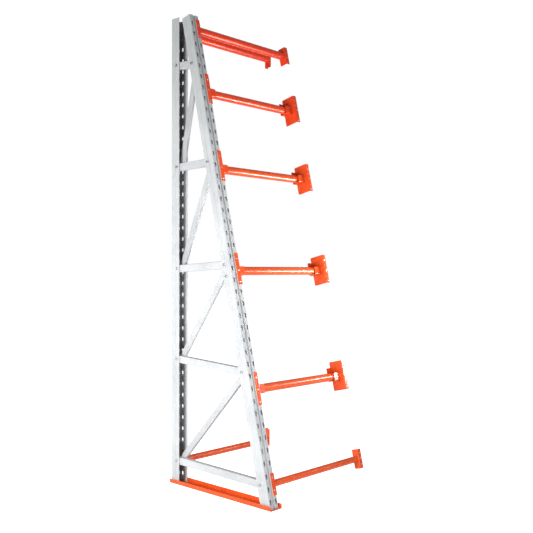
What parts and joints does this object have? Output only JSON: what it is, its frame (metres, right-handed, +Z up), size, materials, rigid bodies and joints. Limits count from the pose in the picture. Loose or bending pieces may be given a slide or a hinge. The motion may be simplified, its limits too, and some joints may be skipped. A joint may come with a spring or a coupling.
{
  "type": "reel rack bay",
  "caption": "Add-on bay of a sloping-front reel rack: one braced upright frame, hook-in tie beams and round spool axles lying in open saddle brackets.",
  "frame": {"origin": "on the floor under the middle of the upright frame's base channel", "axes": "+X along the bay towards the next frame, +Y to the rear, +Z up"},
  "size_m": [0.955, 0.9213, 3.098],
  "materials": {
    "orange_paint": "satin powder coat",
    "grey_paint": "satin powder coat",
    "zinc": "zinc plated"
  },
  "bodies": {
    "rack_frame": {"base_channel": "orange_paint", "rear_post": "grey_paint", "front_post": "grey_paint", "horizontal_brace_1": "grey_paint", "horizontal_brace_2": "grey_paint", "horizontal_brace_3": "grey_paint", "horizontal_brace_4": "grey_paint", "horizontal_brace_5": "grey_paint", "diagonal_brace_1": "grey_paint", "diagonal_brace_2": "grey_paint", "diagonal_brace_3": "grey_paint", "diagonal_brace_4": "grey_paint", "front_bolt_1": "zinc", "front_bolt_2": "zinc", "front_bolt_3": "zinc", "front_bolt_4": "zinc", "front_bolt_5": "zinc", "front_nut_1": "zinc", "front_nut_2": "zinc", "front_nut_3": "zinc", "front_nut_4": "zinc", "front_nut_5": "zinc", "rear_bolt_1": "zinc", "rear_bolt_2": "zinc", "rear_bolt_3": "zinc", "rear_bolt_4": "zinc", "rear_bolt_5": "zinc", "rear_nut_1": "zinc", "rear_nut_2": "zinc", "rear_nut_3": "zinc", "rear_nut_4": "zinc", "rear_nut_5": "zinc", "spare_bolt": "zinc", "spare_nut": "zinc", "saddle_bracket_near_1": "orange_paint", "saddle_bracket_near_2": "orange_paint", "saddle_bracket_near_3": "orange_paint", "saddle_bracket_near_4": "orange_paint", "saddle_bracket_far_1": "orange_paint", "saddle_bracket_far_2": "orange_paint", "saddle_bracket_far_3": "orange_paint", "saddle_bracket_far_4": "orange_paint", "top_front_tie_connector_near": "orange_paint", "top_front_tie_connector_far": "orange_paint", "top_front_tie": "orange_paint", "bottom_front_tie_connector_near": "orange_paint", "bottom_front_tie_connector_far": "orange_paint", "bottom_front_tie": "orange_paint", "top_rear_tie_connector_near": "orange_paint", "top_rear_tie_connector_far": "orange_paint", "top_rear_tie": "orange_paint", "bottom_rear_tie_connector_near": "orange_paint", "bottom_rear_tie_connector_far": "orange_paint", "bottom_rear_tie": "orange_paint"},
    "axle_1": {"axle_1": "orange_paint"},
    "axle_2": {"axle_2": "orange_paint"},
    "axle_3": {"axle_3": "orange_paint"},
    "axle_4": {"axle_4": "orange_paint"}
  },
  "joints": [
    {"name": "axle_1_spin", "type": "hinge", "parent": "rack_frame", "child": "axle_1", "pos_m": [0.4575, 0.21386, 2.58244], "axis": [1, 0, 0], "continuous": true},
    {"name": "axle_2_spin", "type": "hinge", "parent": "rack_frame", "child": "axle_2", "pos_m": [0.4575, 0.09443, 2.07121], "axis": [1, 0, 0], "continuous": true},
    {"name": "axle_3_spin", "type": "hinge", "parent": "rack_frame", "child": "axle_3", "pos_m": [0.4575, -0.05914, 1.41391], "axis": [1, 0, 0], "continuous": true},
    {"name": "axle_4_spin", "type": "hinge", "parent": "rack_frame", "child": "axle_4", "pos_m": [0.4575, -0.22976, 0.68358], "axis": [1, 0, 0], "continuous": true}
  ]
}
